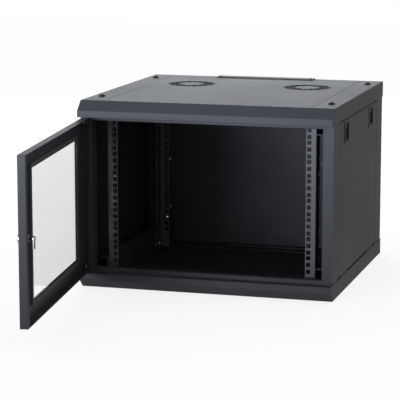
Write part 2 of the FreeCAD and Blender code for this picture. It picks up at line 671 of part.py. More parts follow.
def rail(place, name):
    """Angle with square holes in its face and small slots in its flange."""
    side = SIDES[name]
    inward = "1" if place == "front" else "-1"
    face = rail_face(place)
    points = [("rail_opening / 2", "0"), (MEMBER_FACE, "0"), (MEMBER_FACE, "rail_depth"),
              (f"{MEMBER_FACE} - rail_gauge", "rail_depth"), (f"{MEMBER_FACE} - rail_gauge", "rail_gauge"),
              ("rail_opening / 2", "rail_gauge")]
    label = f"rail_{place}_{name}"
    body = folded(label + "_angle", "XY",
                  [(f"{side} * ({x})", f"{face} + {inward} * ({y})") for x, y in points],
                  middle(RAIL_LOW, RAIL_HIGH), apart(RAIL_LOW, RAIL_HIGH))

    flange = f"{side} * ({MEMBER_FACE} - rail_gauge / 2)"
    bolts = sketch_on(body, label + "_bolt_holes", "YZ", flange)
    for level in LEVELS:
        circle(bolts, "rail_bolt", (rail_bolt_y(place), rail_bolt_height(level)))
    pocket(body, bolts, "3 * rail_gauge")

    slot = sketch_on(body, label + "_slot", "YZ", flange)
    start = f"{RAIL_LOW} + first_hole + hole_step"
    centre = f"{face} + {inward} * (rail_depth - slot_wide)"
    rectangle(slot, (f"{centre} - slot_wide / 2", f"{centre} + slot_wide / 2"),
              (start, f"{start} + slot_tall"))
    repeat_up(body, pocket(body, slot, "3 * rail_gauge"), slot, "slot_step", "unit_groups + 2")

    squares = sketch_on(body, label + "_squares", "XZ", f"{face} + {inward} * rail_gauge / 2")
    across = f"{side} * (rail_opening / 2 + hole_inset)"
    for step in range(3):
        height = f"{RAIL_LOW} + first_hole + {step} * hole_step"
        rectangle(squares, (f"{across} - hole_side / 2", f"{across} + hole_side / 2"),
                  (f"{height} - hole_side / 2", f"{height} + hole_side / 2"))
    repeat_up(body, pocket(body, squares, "3 * rail_gauge"), squares, "rack_unit", "unit_groups")
    return node(body, label)


def rail_fasteners(place, name):
    """Two bolts through a rail's flange and the member's slots, with a nut on each."""
    side = SIDES[name]
    bolts = []
    nuts = []
    for level in LEVELS:
        label = f"{place}_{name}_{level}"
        at = (rail_bolt_y(place), rail_bolt_height(level))
        inside = f"{MEMBER_FACE} - rail_gauge"
        outside = f"{MEMBER_WEB} + member_gauge + seat_gap"
        head = rod("rail_head_" + label, "x", "rail_head_radius",
                   (f"min({side} * ({inside} - rail_head_height); {side} * ({inside}))", *at),
                   "rail_head_height")
        shank = rod("rail_shank_" + label, "x", "rail_bolt",
                    (f"min({side} * ({inside}); {side} * ({inside} + rail_bolt_grip))", *at),
                    "rail_bolt_grip")
        bolts.append(fuse("rail_bolt_" + label, [head, shank]))
        nut_start = f"min({side} * ({outside}); {side} * ({outside} + rail_nut_height))"
        hole_start = f"min({side} * ({outside} - seat_gap / 2); {side} * ({outside} + 2 * rail_nut_height))"
        blank = hexagon("rail_nut_blank_" + label, "x", "rail_nut_radius", (nut_start, *at),
                        "rail_nut_height")
        bore = rod("rail_nut_bore_" + label, "x", "rail_bolt", (hole_start, *at),
                   "2 * rail_nut_height + seat_gap / 2")
        nuts.append(cut("rail_nut_" + label, blank, [bore]))
    node(group(f"bolts_{place}_{name}", bolts), f"rail_bolts_{place}_{name}")
    node(group(f"nuts_{place}_{name}", nuts), f"rail_nuts_{place}_{name}")


# Corner bolts

def corner_bolts(level):
    """Four bolts that hold the top panel, or four countersunk ones that hold the bottom panel."""
    bolts = []
    for name, side in SIDES.items():
        for bolt_y in BOLT_YS:
            label = f"{level}_corner_{name}_{len(bolts)}"
            place = (f"{side} * {BOLT_X}", bolt_y)
            if level == "top":
                head = rod(label + "_head", "z", "bolt_head_radius", (*place, "height / 2"),
                           "bolt_head_height")
                shank = rod(label + "_shank", "z", "bolt_radius", (*place, "height / 2 - bolt_length"),
                            "bolt_length")
            else:
                head = cone(label + "_head", "bolt_head_radius", "bolt_radius",
                            (*place, "-height / 2"), "sink_depth")
                shank = rod(label + "_shank", "z", "bolt_radius", (*place, "-height / 2"), "bolt_length")
            bolts.append(fuse(label, [head, shank]))
    return node(group(level + "_corner_bolts", bolts), level + "_bolts")


# Back panel

def back_panel():
    """Flat sheet between the outer plates, in front of the rear uprights' wall flanges."""
    front = f"{BACK_FACE} - skin_gauge"
    half = f"({POST_SIDE} - back_inset)"
    body = doc.addObject("PartDesign::Body", "back_sheet")
    face = sketch_on(body, "back_outline", "XZ", middle(front, BACK_FACE))
    rectangle(face, (f"-{half}", half), (f"-{FRAME_TOP}", FRAME_TOP))
    pad(body, face, "skin_gauge")
    holes = sketch_on(body, "back_holes", "XZ", middle(front, BACK_FACE))
    for side in SIDES.values():
        for level in LEVELS.values():
            circle(holes, "wall_hole_radius", (f"{side} * {WALL_HOLE_X}", f"{level} * {WALL_HOLE_Z}"))
        for step in (-1, 0, 1):
            circle(holes, "cover_screw_radius",
                   (f"{side} * {BACK_SCREW_X}", f"{step} * back_screw_step"))
    pocket(body, holes, "3 * skin_gauge")
    node(body, "back_panel")
    screws = []
    for name, side in SIDES.items():
        for step in (-1, 0, 1):
            label = f"back_screw_{name}_{step + 1}"
            place = (f"{side} * {BACK_SCREW_X}", f"{step} * back_screw_step")
            head = rod(label + "_head", "y", "small_head_radius",
                       (place[0], f"{front} - small_head_height", place[1]), "small_head_height")
            shank = rod(label + "_shank", "y", "cover_screw_radius", (place[0], front, place[1]),
                        apart(front, "-seat_gap"))
            screws.append(fuse(label, [head, shank]))
    node(group("back_screws", screws), "back_panel_screws")


# Hinges of the door

def hinge_bracket(level):
    """Angle that is screwed to the left upright and carries a hinge pin."""
    up = LEVELS[level]
    outer = f"({BEZEL_EDGE} - seat_gap)"
    shelf = f"({outer} - hinge_gauge)"
    front = f"{POST_FACE} - hinge_reach"
    leg = f"{POST_FACE} - hinge_gauge"
    points = [(POST_FACE, f"{BEZEL_EDGE} - hinge_leg"), (leg, f"{BEZEL_EDGE} - hinge_leg"), (leg, shelf),
              (front, shelf), (front, outer), (POST_FACE, outer)]
    body = folded(level + "_hinge_angle", "YZ", [(y, f"{up} * ({z})") for y, z in points], HINGE_X,
                  "hinge_width")
    hole = sketch_on(body, level + "_hinge_hole", "XY", f"{up} * ({shelf} + hinge_gauge / 2)")
    circle(hole, "pin_radius", (HINGE_X, HINGE_Y))
    pocket(body, hole, "3 * hinge_gauge")
    screws = [hinge_screw(level, index) for index in (0, 1)]
    place = "upper" if level == "top" else "lower"
    node(cut(level + "_hinge_plate", body, screws), "hinge_bracket_" + place)
    return screws


def hinge_screw(level, index):
    """Countersunk screw, flush with the bracket's face."""
    label = f"hinge_screw_{level}_{index}"
    height = hinge_screw_heights(LEVELS[level])[index]
    front = f"{POST_FACE} - hinge_gauge"
    head = cone(label + "_head", "small_head_radius", "hinge_screw_radius", (HINGE_X, front, height),
                "hinge_gauge", "y")
    shank = rod(label + "_shank", "y", "hinge_screw_radius", (HINGE_X, front, height),
                "hinge_screw_length")
    return fuse(label, [head, shank])


def hinge_pin(level):
    """Pin that stands in its bracket and reaches into the door's bush."""
    outer = f"({BEZEL_EDGE} - seat_gap)"
    length = "door_gap - seat_gap + pin_reach"
    base = f"{outer} - ({length})" if level == "top" else f"-{outer}"
    return rod("hinge_pin_" + level, "z", "pin_radius", (HINGE_X, HINGE_Y, base), length)


def hinge_bush(level):
    """Flanged plastic bush in the door's folded edge."""
    up = LEVELS[level]
    shelf = f"({BEZEL_EDGE} - seat_gap - hinge_gauge)"
    flange_end = f"({shelf} - seat_gap)"
    inner_end = f"({DOOR_TOP} - bush_length)"
    sleeve = rod(f"bush_sleeve_{level}", "z", "bush_radius",
                 (HINGE_X, HINGE_Y, f"min({up} * {inner_end}; {up} * {flange_end})"),
                 apart(inner_end, flange_end))
    flange = rod(f"bush_flange_{level}", "z", "bush_flange",
                 (HINGE_X, HINGE_Y, f"min({up} * {DOOR_TOP}; {up} * {flange_end})"),
                 apart(DOOR_TOP, flange_end))
    bore = rod(f"bush_bore_{level}", "z", "pin_radius + pin_play",
               (HINGE_X, HINGE_Y, f"min({up} * ({inner_end} - bush_length); {up} * {shelf})"),
               apart(f"{inner_end} - bush_length", shelf))
    return cut(f"hinge_bush_{level}", fuse(f"bush_blank_{level}", [sleeve, flange]), [bore])


# Door, modelled closed and then turned open about its hinge axis

def hang(thing):
    """Turn a finished piece of the closed door open about the hinge axis."""
    turn = FreeCAD.Rotation(FreeCAD.Vector(0, 0, -1), value("door_open"))
    thing.Placement = FreeCAD.Placement(FreeCAD.Vector(), turn)
    cosine = "cos(door_open)"
    sine = "sin(door_open)"
    thing.setExpression("Placement.Rotation.Angle", link("door_open"))
    thing.setExpression("Placement.Base.x", link(f"{HINGE_X} * (1 - {cosine}) - {HINGE_Y} * {sine}"))
    thing.setExpression("Placement.Base.y", link(f"{HINGE_Y} * (1 - {cosine}) + {HINGE_X} * {sine}"))
    return thing


def door_frame():
    """Folded pan with a window, side lips and holes for the lock and the bushes."""
    body = doc.addObject("PartDesign::Body", "door_pan")
    face = sketch_on(body, "door_outline", "XZ", middle(DOOR_FACE, DOOR_REAR))
    rectangle(face, (f"-{DOOR_HALF}", DOOR_HALF), (f"-{DOOR_TOP}", DOOR_TOP))
    pad(body, face, "door_depth")
    hollow = sketch_on(body, "door_hollow", "XZ", middle(DOOR_INSIDE, f"{DOOR_REAR} + skin_gauge"))
    rectangle(hollow, (f"-{DOOR_HALF} + skin_gauge", f"{DOOR_HALF} - skin_gauge"),
              (f"-{DOOR_TOP} + skin_gauge", f"{DOOR_TOP} - skin_gauge"))
    pocket(body, hollow, apart(DOOR_INSIDE, f"{DOOR_REAR} + skin_gauge"))
    lips = sketch_on(body, "door_lips", "XZ", f"{DOOR_REAR} - skin_gauge / 2")
    for side in SIDES.values():
        rectangle(lips, (f"{side} * {DOOR_HALF}", f"{side} * ({DOOR_HALF} - door_lip)"),
                  (f"-{DOOR_TOP}", DOOR_TOP))
    pad(body, lips, "skin_gauge")
    window = sketch_on(body, "door_window", "XZ", middle(DOOR_FACE, DOOR_INSIDE))
    rectangle(window, (f"-{DOOR_HALF} + door_stile", f"{DOOR_HALF} - door_stile"),
              (f"-{DOOR_TOP} + door_rail", f"{DOOR_TOP} - door_rail"))
    circle(window, "lock_barrel_radius", (LOCK_X, "lock_raise"))
    pocket(body, window, "3 * skin_gauge")
    bushes = sketch_on(body, "door_bush_holes", "XY", "0")
    circle(bushes, "bush_radius", (HINGE_X, HINGE_Y))
    pocket(body, bushes, f"2 * ({DOOR_TOP} + skin_gauge)")
    return node(hang(body), "door_frame")


def door_glazing():
    """Glass sheet behind the window, and the rubber frame that holds its edge."""
    def sheet_block(name, grown, ys):
        across = f"({DOOR_HALF} - door_stile + glass_lap + {grown})"
        along = f"({DOOR_TOP} - door_rail + glass_lap + {grown})"
        return block(name, (f"-{across}", across), ys, (f"-{along}", along))

    glass = sheet_block("glass_sheet", "0", (DOOR_INSIDE, f"{DOOR_INSIDE} + glass_gauge"))
    outer = sheet_block("gasket_outer", "gasket_outside", (DOOR_INSIDE, f"{DOOR_INSIDE} + gasket_depth"))
    opening = sheet_block("gasket_opening", "(-gasket_inside)", (FRONT, DOOR_REAR))
    node(hang(group("glazing", [glass])), "door_glass")
    node(hang(cut("gasket", outer, [opening, glass])), "glass_gasket")


def lock_parts():
    """Cam lock: cap and barrel, nut, stop plate, turning plug, cam and cam screw."""
    def turned(name, radius, start, end):
        return rod(name, "y", radius, (LOCK_X, start, "lock_raise"), apart(start, end))

    cap_face = f"({DOOR_FACE} - lock_cap_height)"
    barrel_end = f"({DOOR_FACE} + lock_barrel_length)"
    stop_end = f"({barrel_end} + lock_stop_gauge)"
    cam_end = f"({CAM_Y} + cam_gauge)"
    bore_radius = "plug_radius + pin_play"

    cap = turned("lock_cap", "lock_cap_radius", cap_face, DOOR_FACE)
    barrel = turned("lock_barrel", "lock_barrel_radius", DOOR_FACE, barrel_end)
    bore = turned("lock_bore", bore_radius, f"{cap_face} - skin_gauge", f"{barrel_end} + skin_gauge")
    node(hang(cut("lock_shell", fuse("lock_blank", [cap, barrel]), [bore])), "lock_body")

    nut = hexagon("lock_nut_blank", "y", "lock_nut_radius", (LOCK_X, DOOR_INSIDE, "lock_raise"),
                  "lock_nut_height")
    nut_bore = turned("lock_nut_bore", "lock_barrel_radius", DOOR_FACE, barrel_end)
    node(hang(cut("lock_ring_nut", nut, [nut_bore])), "lock_nut")

    stop = turned("lock_stop_blank", "lock_stop_radius", barrel_end, stop_end)
    stop_bore = turned("lock_stop_bore", bore_radius, DOOR_FACE, f"{stop_end} + skin_gauge")
    node(hang(cut("lock_stop", stop, [stop_bore])), "lock_stop_plate")

    plug = turned("lock_plug_blank", "plug_radius", f"{cap_face} - seat_gap", CAM_Y)
    key_slot = block("lock_key_slot", (f"{LOCK_X} - key_slot_wide / 2", f"{LOCK_X} + key_slot_wide / 2"),
                     (f"{cap_face} - skin_gauge", f"{cap_face} + key_slot_deep"),
                     ("lock_raise - key_slot_long / 2", "lock_raise + key_slot_long / 2"))
    thread = turned("lock_thread", "cam_screw_thread", f"{cam_end} - cam_screw_length", cam_end)
    node(hang(cut("lock_core", plug, [key_slot, thread])), "lock_plug")

    hub = turned("cam_hub", "cam_width / 2", CAM_Y, cam_end)
    arm = block("cam_arm", (f"{LOCK_X} - cam_width / 2", f"{LOCK_X} + cam_width / 2"), (CAM_Y, cam_end),
                ("lock_raise - cam_reach", "lock_raise"))
    cam_bore = turned("cam_bore", "cam_screw_thread", f"{CAM_Y} - skin_gauge", f"{cam_end} + skin_gauge")
    node(hang(cut("cam_plate", fuse("cam_blank", [hub, arm]), [cam_bore])), "lock_cam")

    head = turned("cam_screw_head", "cam_screw_radius", cam_end, f"{cam_end} + cam_screw_height")
    shank = turned("cam_screw_shank", "cam_screw_thread", f"{cam_end} - cam_screw_length", cam_end)
    node(hang(fuse("cam_fixing", [head, shank])), "cam_screw")


# Side panels and their sliding latches

def latch_middle(place):
    """Place of a latch's middle along Y."""
    return f"({PANEL_FRONT} + latch_inset)" if place == "front" else f"({PANEL_REAR} - latch_inset)"


LATCH_Z = f"({PANEL_TOP} - latch_drop)"
TONGUE_SIDE = f"({POST_SIDE} - skin_gauge - latch_play)"


def tongue_block(name, side, place, play, low, high):
    """Block in the path of a latch's tongue, grown by a clearance."""
    start = f"{latch_middle(place)} + slider_width / 2 - tongue_width"
    inner = f"({TONGUE_SIDE} - tongue_gauge)"
    return block(name, (f"{side} * ({TONGUE_SIDE} + {play})", f"{side} * ({inner} - {play})"),
                 (f"{start} - {play}", f"{start} + tongue_width + {play}"), (low, high))


def side_panel(name):
    """Removable tray-shaped panel with tabs below and two latches near its top."""
    side = SIDES[name]
    inner = f"{POST_SIDE} - panel_flange"
    outer = block(name + "_panel_outer", (f"{side} * ({inner})", f"{side} * {POST_SIDE}"),
                  (PANEL_FRONT, PANEL_REAR), (f"-{PANEL_TOP}", PANEL_TOP))
    hollow = block(name + "_panel_hollow",
                   (f"{side} * ({inner} - skin_gauge)", f"{side} * ({POST_SIDE} - skin_gauge)"),
                   (f"{PANEL_FRONT} + skin_gauge", f"{PANEL_REAR} - skin_gauge"),
                   (f"-{PANEL_TOP} + skin_gauge", f"{PANEL_TOP} - skin_gauge"))
    cuts = [hollow]
    for place in ("front", "rear"):
        centre = latch_middle(place)
        cuts.append(block(f"{name}_{place}_latch_hole",
                          (f"{side} * ({POST_SIDE} - 2 * skin_gauge)",
                           f"{side} * ({POST_SIDE} + skin_gauge)"),
                          (f"{centre} - latch_hole / 2", f"{centre} + latch_hole / 2"),
                          (f"{LATCH_Z} - latch_hole / 2", f"{LATCH_Z} + latch_hole / 2")))
        cuts.append(tongue_block(f"{name}_{place}_tongue_hole", side, place, "latch_play",
                                 f"{PANEL_TOP} - 2 * skin_gauge", f"{PANEL_TOP} + skin_gauge"))
    tray = cut(name + "_panel_tray", outer, cuts)
    pieces = [tray]
    hook = "(width / 2 - skin_gauge - tab_gap)"
    for end, centre in (("front", f"{PANEL_FRONT} + tab_inset"), ("rear", f"{PANEL_REAR} - tab_inset")):
        pieces.append(block(f"{name}_{end}_tab", (f"{side} * ({hook} - skin_gauge)", f"{side} * {hook}"),
                            (f"{centre} - tab_width / 2", f"{centre} + tab_width / 2"),
                            (f"-{PANEL_TOP} - tab_length", f"-{PANEL_TOP} + skin_gauge")))
    return node(fuse(name + "_panel", pieces), "side_panel_" + name)


def latch(name, place):
    """Plastic frame and tray in the side panel, with a slider that pushes a tongue up."""
    side = SIDES[name]
    label = f"{place}_{name}"
    centre = latch_middle(place)
    half = "(latch_hole / 2 - seat_gap)"
    room = f"({half} - latch_wall)"
    outside = f"({POST_SIDE} + latch_proud)"
    floor = f"({POST_SIDE} - latch_tray_depth)"

    def square(suffix, xs, reach):
        return block(f"latch_{suffix}_{label}", (f"{side} * {xs[0]}", f"{side} * {xs[1]}"),
                     (f"{centre} - {reach}", f"{centre} + {reach}"),
                     (f"{LATCH_Z} - {reach}", f"{LATCH_Z} + {reach}"))

    frame = square("frame", (POST_SIDE, outside), "latch_frame / 2")
    tray = square("tray", (floor, POST_SIDE), half)
    space = square("space", (f"({floor} + latch_wall)", f"({outside} + latch_wall)"), room)
    passage = tongue_block("latch_passage_" + label, side, place, "latch_play", LATCH_Z,
                           f"{LATCH_Z} + latch_hole")
    node(cut("latch_shell_" + label, fuse("latch_blank_" + label, [frame, tray]), [space, passage]),
         f"latch_housing_{place}_{name}")

    slider_face = f"({floor} + latch_wall + latch_play + slider_depth)"
    low = f"({LATCH_Z} - {room} + latch_play)"
    high = f"({LATCH_Z} + {room} - latch_play - latch_travel)"
    rear = f"({centre} + {room} - latch_play)"
    body = block("slider_block_" + label,
                 (f"{side} * ({slider_face} - slider_depth)", f"{side} * {slider_face}"),
                 (f"{rear} - slider_width", rear), (low, high))
    grip_middle = middle(low, high)
    grip = block("slider_grip_" + label,
                 (f"{side} * ({slider_face} - grip_depth)", f"{side} * ({slider_face} + grip_depth)"),
                 (f"{rear} - latch_wall - grip_width", f"{rear} - latch_wall"),
                 (f"{grip_middle} - grip_height / 2", f"{grip_middle} + grip_height / 2"))
    tongue = tongue_block("slider_tongue_" + label, side, place, "0", f"{high} - latch_wall",
                          f"{PANEL_TOP} + tongue_proud")
    node(cut("slider_" + label, fuse("slider_blank_" + label, [body, tongue]), [grip]),
         f"latch_slider_{place}_{name}")


# The whole cabinet

top_bolts = corner_bolts("top")
bottom_bolts = corner_bolts("bottom")
node(cut("top_plate", plate_panel("top"), [grille_cutter()]), "top_panel")
node(cut("bottom_plate", plate_panel("bottom"), [bottom_bolts]), "bottom_panel")
cable_covers()

for name in SIDES:
    front_post(name)
    rear_post(name)
for level, bolts in (("top", top_bolts), ("bottom", bottom_bolts)):
    header(level)
    crossbar(level)
    for name in SIDES:
        side_member(level, name, bolts)
back_panel()

for place in ("front", "rear"):
    for name in SIDES:
        rail(place, name)
        rail_fasteners(place, name)

for name in SIDES:
    side_panel(name)
    for place in ("front", "rear"):
        latch(name, place)

node(group("all_hinge_screws", hinge_bracket("top") + hinge_bracket("bottom")), "hinge_screws")
node(group("all_hinge_pins", [hinge_pin("top"), hinge_pin("bottom")]), "hinge_pins")
node(hang(group("all_hinge_bushes", [hinge_bush("top"), hinge_bush("bottom")])), "hinge_bushes")
door_frame()
door_glazing()
lock_parts()

doc.recompute()
for thing in doc.Objects:
    if "Invalid" in thing.State or "Error" in thing.State:
        raise RuntimeError(f"{thing.Label} did not compute")
for thing in NODES:
    if thing.Shape.isNull() or not thing.Shape.isValid() or not thing.Shape.Solids:
        raise RuntimeError(f"{thing.Label} has no valid solid")

os.makedirs("parts", exist_ok=True)
for thing in NODES:
    thing.Shape.exportStep(f"parts/{thing.Label}.step")
print(len(NODES), "pieces written")
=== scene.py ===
# %% [markdown]
# # A wall mount network cabinet
#
# The object is a box of folded steel sheet for network equipment. A glazed door stands open on the
# left, four punched rails stand inside, and the top has two honeycomb grilles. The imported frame
# already holds every piece at its real size and place. This lesson gives each piece its finish,
# rounds the folds as a bending press and a coat of paint do, and makes the screws, the bolts, the
# rubber seal and the finger ribs, which the frame leaves plain.

import json
import math

import bmesh
import bpy
import numpy as np
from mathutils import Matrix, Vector


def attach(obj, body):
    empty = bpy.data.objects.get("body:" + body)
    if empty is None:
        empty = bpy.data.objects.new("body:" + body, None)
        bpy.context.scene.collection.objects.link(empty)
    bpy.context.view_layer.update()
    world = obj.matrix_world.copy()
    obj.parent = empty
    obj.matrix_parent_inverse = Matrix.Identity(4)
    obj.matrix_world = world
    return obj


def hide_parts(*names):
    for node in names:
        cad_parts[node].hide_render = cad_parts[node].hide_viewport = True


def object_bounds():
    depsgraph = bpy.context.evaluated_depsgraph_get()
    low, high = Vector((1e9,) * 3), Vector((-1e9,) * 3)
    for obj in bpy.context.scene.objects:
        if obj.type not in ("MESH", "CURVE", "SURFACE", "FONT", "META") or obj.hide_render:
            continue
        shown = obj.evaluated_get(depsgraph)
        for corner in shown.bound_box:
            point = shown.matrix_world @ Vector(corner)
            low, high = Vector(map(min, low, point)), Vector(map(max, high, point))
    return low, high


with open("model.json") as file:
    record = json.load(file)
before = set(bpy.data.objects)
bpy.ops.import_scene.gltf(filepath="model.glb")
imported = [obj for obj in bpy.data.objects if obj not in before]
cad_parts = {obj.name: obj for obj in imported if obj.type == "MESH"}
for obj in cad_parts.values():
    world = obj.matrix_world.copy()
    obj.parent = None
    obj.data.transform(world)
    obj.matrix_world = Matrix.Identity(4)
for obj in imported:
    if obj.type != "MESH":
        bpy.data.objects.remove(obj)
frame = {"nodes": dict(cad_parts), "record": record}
cad_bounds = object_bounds()
nodes = frame["nodes"]
body_of_node = {node: body for body, members in frame["record"]["behaviour"]["bodies"].items()
                for node in members}
slot_of_node = {part["node"]: part["material_slot"] for part in frame["record"]["subparts"]}

# %% [markdown]
# ## Colours and shader nodes
#
# Paint makers give colours as they look on a screen, which is sRGB. Blender mixes light in linear
# values, so one function turns each hex colour round. A second one adds a shader node and wires it,
# which keeps every material short enough to read as a recipe.

# %% Colour and node helpers
MILLIMETRE = 0.001


def linear(hex_colour):
    """sRGB hex to linear: a short straight part near black, and a power of 2.4 above it."""
    screen = np.array([int(hex_colour[start:start + 2], 16) for start in (1, 3, 5)]) / 255
    light = np.where(screen <= 0.04045, screen / 12.92, ((screen + 0.055) / 1.055) ** 2.4)
    return (*light.tolist(), 1.0)


def add(tree, kind, sockets=(), **settings):
    """Add a node, set its options, and fill its sockets with values or other nodes' outputs."""
    node = tree.nodes.new(kind)
    for option, setting in settings.items():
        setattr(node, option, setting)
    for socket, source in dict(sockets).items():
        if isinstance(source, bpy.types.NodeSocket):
            tree.links.new(source, node.inputs[socket])
        else:
            node.inputs[socket].default_value = source
    return node


def new_material(name, colour, **sockets):
    """Material with one Principled surface, and the tree and shader to build on."""
    material = bpy.data.materials.new(name)
    material.use_nodes = True
    tree = material.node_tree
    shader = tree.nodes["Principled BSDF"]
    shader.inputs["Base Color"].default_value = linear(colour)
    for socket, setting in sockets.items():
        shader.inputs[socket.replace("_", " ")].default_value = setting
    return material, tree, shader


def per_metre(size_mm):
    """Noise scale that gives patches of about the given size."""
    return 1 / (size_mm * MILLIMETRE)


# %% [markdown]
# ## Black powder coat
#
# The sheets are sprayed with black polyester powder and baked. The powder melts into a skin with a
# fine orange peel, so a light is seen as a soft sheen and never as a sharp picture. The real grain
# is under a millimetre, too fine for the render, so it is drawn at 1.6 mm. A second, much larger
# noise changes the colour and the sheen a little from place to place, as an uneven coat does.

# %% Powder coat
GRAIN_MM = 1.6
DRIFT_MM = 170
DULLEST, GLOSSIEST = 0.05, -0.04
PEEL_STRENGTH = 0.35
POLYESTER_IOR = 1.5


def painted(name, colour, drift_colour, roughness, grain_height_mm, specular_level):
    """Paint over steel: colour and roughness drift slowly, and a fine bump breaks up the sheen."""
    material, tree, shader = new_material(name, colour, Specular_IOR_Level=specular_level,
                                          IOR=POLYESTER_IOR)
    place = add(tree, "ShaderNodeTexCoord").outputs["Object"]
    drift = add(tree, "ShaderNodeTexNoise", {"Vector": place, "Scale": per_metre(DRIFT_MM),
                                             "Detail": 3.0})
    tint = add(tree, "ShaderNodeMix", {"Factor": drift.outputs["Fac"], "A": linear(colour),
                                       "B": linear(drift_colour)}, data_type="RGBA")
    gloss = add(tree, "ShaderNodeMapRange", {"Value": drift.outputs["Fac"],
                                             "To Min": roughness + GLOSSIEST,
                                             "To Max": roughness + DULLEST})
    grain = add(tree, "ShaderNodeTexNoise", {"Vector": place, "Scale": per_metre(GRAIN_MM),
                                             "Detail": 2.0})
    bump = add(tree, "ShaderNodeBump", {"Height": grain.outputs["Fac"], "Strength": PEEL_STRENGTH,
                                        "Distance": grain_height_mm * MILLIMETRE})
    tree.links.new(tint.outputs["Result"], shader.inputs["Base Color"])
    tree.links.new(gloss.outputs["Result"], shader.inputs["Roughness"])
    tree.links.new(bump.outputs["Normal"], shader.inputs["Normal"])
    return material


# A cold black that drifts to a slightly lighter one: matt sheets that still show their folds.
powder_coat = painted("powder_coat_black", "#191b20", "#1e2025", roughness=0.68,
                      grain_height_mm=0.12, specular_level=0.27)
# The rails' own coat is greyer and smoother, so they stand out in the dark bay.
rail_coat = painted("powder_coat_rail", "#28292d", "#2d2e32", roughness=0.62,
                    grain_height_mm=0.1, specular_level=0.3)
# Bolts are dipped: nearly no colour and a tighter sheen, which reads as small dark dots.
bolt_coat = painted("black_oxide_bolts", "#0a0a0b", "#0e0e0f", roughness=0.5,
                    grain_height_mm=0.05, specular_level=0.14)
print("powder coat with", per_metre(GRAIN_MM), "grains per metre")

# %% [markdown]
# ## Glass, rubber, plastic and bright metal
#
# The pane is toughened float glass. Its index of refraction is set far below that of glass, because
# the photograph shows it with almost no reflection. The seal round it is black rubber, which
# scatters light and stays dull. The latches are injection moulded ABS with a fine spark-eroded
# grain. The lock is zinc die casting under chromium. The hinge and rail hardware is zinc plated,
# which leaves a satin, faintly mottled metal.

# %% Glass, rubber, plastic and metal
SPARK_GRAIN_MM = 0.9
MOTTLE_MM = 2.5
GLOSS_SWING = 0.06
MOULDED_STRENGTH = 0.4
CALM_GLASS_IOR = 1.14


def grained(name, colour, roughness, grain_mm, depth_mm, **sockets):
    """One colour with a fine moulded or rolled grain in its bump and its roughness."""
    material, tree, shader = new_material(name, colour, **sockets)
    place = add(tree, "ShaderNodeTexCoord").outputs["Object"]
    grain = add(tree, "ShaderNodeTexNoise", {"Vector": place, "Scale": per_metre(grain_mm),
                                             "Detail": 3.0})
    gloss = add(tree, "ShaderNodeMapRange", {"Value": grain.outputs["Fac"],
                                             "To Min": roughness - GLOSS_SWING,
                                             "To Max": roughness + GLOSS_SWING})
    bump = add(tree, "ShaderNodeBump", {"Height": grain.outputs["Fac"],
                                        "Strength": MOULDED_STRENGTH,
                                        "Distance": depth_mm * MILLIMETRE})
    tree.links.new(gloss.outputs["Result"], shader.inputs["Roughness"])
    tree.links.new(bump.outputs["Normal"], shader.inputs["Normal"])
    return material


# Fire-polished faces: the white ground shows through clear, with a trace of grey-blue.
float_glass, _, _ = new_material("toughened_glass", "#fbfcfd", Roughness=0.02, IOR=CALM_GLASS_IOR,
                                 Transmission_Weight=1.0)
# Extruded and talc-dulled: it swallows light and draws a dark line round the pane.
seal_rubber = grained("seal_rubber", "#141415", roughness=0.75, grain_mm=SPARK_GRAIN_MM,
                      depth_mm=0.05)
# Moulded against a spark-eroded steel face: an even, dry black beside the sprayed sheet.
latch_plastic = grained("abs_plastic_black", "#18191c", roughness=0.68,
                        grain_mm=SPARK_GRAIN_MM, depth_mm=0.08, Specular_IOR_Level=0.32)
# Moulded in a polished tool: the only slightly shiny plastic, inside the hinges.
nylon = grained("nylon_black", "#1c1c1d", roughness=0.45, grain_mm=SPARK_GRAIN_MM,
                depth_mm=0.03)
# Barrel-plated: bright but satin, with small soft clouds instead of a mirror picture.
zinc_plate = grained("zinc_plated_steel", "#b3b5b8", roughness=0.34, grain_mm=MOTTLE_MM,
                     depth_mm=0.02, Metallic=1.0)
# Polished before it was plated: the one sharp sparkle on the door.
chrome_plate = grained("chromium_plate", "#cfd0d2", roughness=0.14, grain_mm=MOTTLE_MM,
                       depth_mm=0.005, Metallic=1.0)

FINISHES = {
    "case_paint": powder_coat,
    "rail_paint": rail_coat,
    "black_bolts": bolt_coat,
    "glass": float_glass,
    "gasket": seal_rubber,
    "latch_plastic": latch_plastic,
    "bush_plastic": nylon,
    "zinc_steel": zinc_plate,
    "lock_chrome": chrome_plate,
}
for name, piece in nodes.items():
    piece.data.materials.clear()
    piece.data.materials.append(FINISHES[slot_of_node[name]])
print(len(FINISHES), "finishes on", len(nodes), "pieces")

# %% [markdown]
# ## Round folds and soft edges
#
# A press folds a sheet round a small radius, while a sheared edge is only rounded by its paint.
# Each radius catches a thin line of light, and the eye reads it as metal. The frame's pieces have
# sharp corners, so each is copied, its loose triangles are joined at their corners, and a Bevel
# modifier rounds its edges. An edge between two broad faces is a fold and gets the larger radius.
# An edge with a narrow face beside it, such as the end of a sheet or the rim of a hole, gets the
# small one. The short chords round a screw hole stay sharp, because rounding them would pull the
# flat sheet about.

# %% Rounded copies of the frame's pieces
MERGE_DISTANCE = 0.00001
SHARP_ANGLE = math.radians(25)
SHEET_STRIP_MM = 2.6
SHORT_CHORD_MM = 1.4
BEVEL_SEGMENTS = 3


def fold_weight(edge, small_share):
    """1 for a fold, less beside a strip as narrow as the sheet, 0 where an edge stays as it is.

    A triangle's height over an edge is twice its area divided by the edge's length.
    """
    length = edge.calc_length()
    short = length < SHORT_CHORD_MM * MILLIMETRE
    if short or len(edge.link_faces) != 2 or edge.calc_face_angle() < SHARP_ANGLE:
        return 0.0
    narrowest = 2 * min(face.calc_area() for face in edge.link_faces) / length
    return 1.0 if narrowest > SHEET_STRIP_MM * MILLIMETRE else small_share


